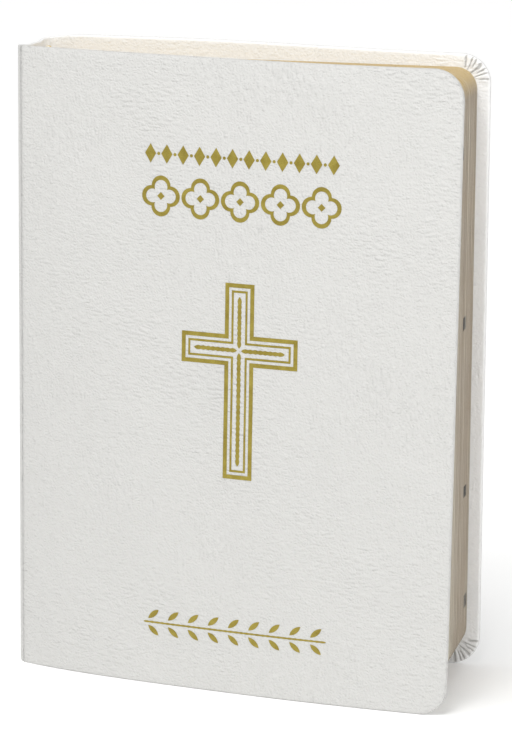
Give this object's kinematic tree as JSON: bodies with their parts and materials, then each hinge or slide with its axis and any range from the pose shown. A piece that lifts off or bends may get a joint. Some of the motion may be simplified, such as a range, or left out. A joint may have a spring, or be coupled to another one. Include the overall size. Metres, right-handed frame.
{
  "type": "leather-bound bible",
  "caption": "Bible in limp white bonded leather with rounded corners, gold-stamped cross and bands, and gilt page edges; its covers, endpapers and outer sections turn.",
  "frame": {"origin": "centre of the standing book's outline, on the surface its tail edges stand on", "axes": "+X from the spine to the fore edge, -Y out of the front cover, +Z from tail to head"},
  "size_m": [0.1716, 0.0684, 0.235],
  "materials": {
    "white_leather": "soft sheen, fine pebble grain",
    "board": "matt",
    "endpaper": "matt",
    "gilt_edged_paper": "thin paper with gilded edges",
    "gold_foil": "satin foil",
    "mull_cloth": "open weave",
    "band_cloth": "ribbed",
    "thread": "twisted",
    "lining_paper": "matt kraft"
  },
  "bodies": {
    "spine": {"spine_leather": "white_leather", "spine_stiffener": "board", "spine_lining": "lining_paper", "spine_mull": "mull_cloth", "sewing_thread": "thread", "head_band": "band_cloth", "tail_band": "band_cloth", "section_05": "gilt_edged_paper", "section_06": "gilt_edged_paper", "section_07": "gilt_edged_paper", "section_08": "gilt_edged_paper", "section_09": "gilt_edged_paper", "section_10": "gilt_edged_paper", "section_11": "gilt_edged_paper", "section_12": "gilt_edged_paper", "section_13": "gilt_edged_paper", "section_14": "gilt_edged_paper", "section_15": "gilt_edged_paper", "section_16": "gilt_edged_paper", "section_17": "gilt_edged_paper", "section_18": "gilt_edged_paper", "section_19": "gilt_edged_paper", "section_20": "gilt_edged_paper"},
    "front_cover": {"front_leather": "white_leather", "front_board": "board", "front_infill": "endpaper", "front_mull_flap": "mull_cloth", "front_pastedown": "endpaper", "cross_foil": "gold_foil", "rosette_foil": "gold_foil", "lozenge_foil": "gold_foil", "leaf_stem_foil": "gold_foil"},
    "back_cover": {"back_leather": "white_leather", "back_board": "board", "back_infill": "endpaper", "back_mull_flap": "mull_cloth", "back_pastedown": "endpaper"},
    "front_endpaper": {"front_flyleaf": "endpaper"},
    "back_endpaper": {"back_flyleaf": "endpaper"},
    "first_leaf": {"title_leaf": "gilt_edged_paper"},
    "end_leaf": {"last_leaf": "gilt_edged_paper"},
    "page_block_01": {"section_01": "gilt_edged_paper"},
    "page_block_02": {"section_02": "gilt_edged_paper"},
    "page_block_03": {"section_03": "gilt_edged_paper"},
    "page_block_04": {"section_04": "gilt_edged_paper"},
    "page_block_24": {"section_24": "gilt_edged_paper"},
    "page_block_23": {"section_23": "gilt_edged_paper"},
    "page_block_22": {"section_22": "gilt_edged_paper"},
    "page_block_21": {"section_21": "gilt_edged_paper"}
  },
  "joints": [
    {"name": "front_hinge", "type": "hinge", "parent": "spine", "child": "front_cover", "pos_m": [-0.08219, -0.00614, 0], "axis": [0, 0, -1], "range_deg": [-8, 160]},
    {"name": "back_hinge", "type": "hinge", "parent": "spine", "child": "back_cover", "pos_m": [-0.08219, 0.03382, 0], "axis": [0, 0, 1], "range_deg": [0, 165]},
    {"name": "front_endpaper_turn", "type": "hinge", "parent": "spine", "child": "front_endpaper", "pos_m": [-0.08221, -0.00404, 0], "axis": [0, 0, -1], "range_deg": [-3.92, 78.4]},
    {"name": "title_leaf_turn", "type": "hinge", "parent": "spine", "child": "first_leaf", "pos_m": [-0.08221, -0.00384, 0], "axis": [0, 0, -1], "range_deg": [-1.92, 38.42]},
    {"name": "section_01_turn", "type": "hinge", "parent": "spine", "child": "page_block_01", "pos_m": [-0.08221, -0.00366, 0], "axis": [0, 0, -1], "range_deg": [-0.94, 18.82]},
    {"name": "section_02_turn", "type": "hinge", "parent": "spine", "child": "page_block_02", "pos_m": [-0.08221, -0.0022, 0], "axis": [0, 0, -1], "range_deg": [-0.46, 9.22]},
    {"name": "section_03_turn", "type": "hinge", "parent": "spine", "child": "page_block_03", "pos_m": [-0.08221, -0.00074, 0], "axis": [0, 0, -1], "range_deg": [-0.23, 4.52]},
    {"name": "section_04_turn", "type": "hinge", "parent": "spine", "child": "page_block_04", "pos_m": [-0.08221, 0.00072, 0], "axis": [0, 0, -1], "range_deg": [-0.11, 2.22]},
    {"name": "back_endpaper_turn", "type": "hinge", "parent": "spine", "child": "back_endpaper", "pos_m": [-0.08221, 0.03172, 0], "axis": [0, 0, 1], "range_deg": [0, 80.85]},
    {"name": "last_leaf_turn", "type": "hinge", "parent": "spine", "child": "end_leaf", "pos_m": [-0.08221, 0.03152, 0], "axis": [0, 0, 1], "range_deg": [0, 39.62]},
    {"name": "section_24_turn", "type": "hinge", "parent": "spine", "child": "page_block_24", "pos_m": [-0.08221, 0.03134, 0], "axis": [0, 0, 1], "range_deg": [0, 19.41]},
    {"name": "section_23_turn", "type": "hinge", "parent": "spine", "child": "page_block_23", "pos_m": [-0.08221, 0.02988, 0], "axis": [0, 0, 1], "range_deg": [0, 9.51]},
    {"name": "section_22_turn", "type": "hinge", "parent": "spine", "child": "page_block_22", "pos_m": [-0.08221, 0.02842, 0], "axis": [0, 0, 1], "range_deg": [0, 4.66]},
    {"name": "section_21_turn", "type": "hinge", "parent": "spine", "child": "page_block_21", "pos_m": [-0.08221, 0.02696, 0], "axis": [0, 0, 1], "range_deg": [0, 2.29]}
  ],
  "couplings": [
    {"joint": "front_endpaper_turn", "follows": "front_hinge", "ratio": 0.49},
    {"joint": "title_leaf_turn", "follows": "front_hinge", "ratio": 0.2401},
    {"joint": "section_01_turn", "follows": "front_hinge", "ratio": 0.11765},
    {"joint": "section_02_turn", "follows": "front_hinge", "ratio": 0.057648},
    {"joint": "section_03_turn", "follows": "front_hinge", "ratio": 0.028248},
    {"joint": "section_04_turn", "follows": "front_hinge", "ratio": 0.013841},
    {"joint": "back_endpaper_turn", "follows": "back_hinge", "ratio": 0.49},
    {"joint": "last_leaf_turn", "follows": "back_hinge", "ratio": 0.2401},
    {"joint": "section_24_turn", "follows": "back_hinge", "ratio": 0.11765},
    {"joint": "section_23_turn", "follows": "back_hinge", "ratio": 0.057648},
    {"joint": "section_22_turn", "follows": "back_hinge", "ratio": 0.028248},
    {"joint": "section_21_turn", "follows": "back_hinge", "ratio": 0.013841}
  ]
}
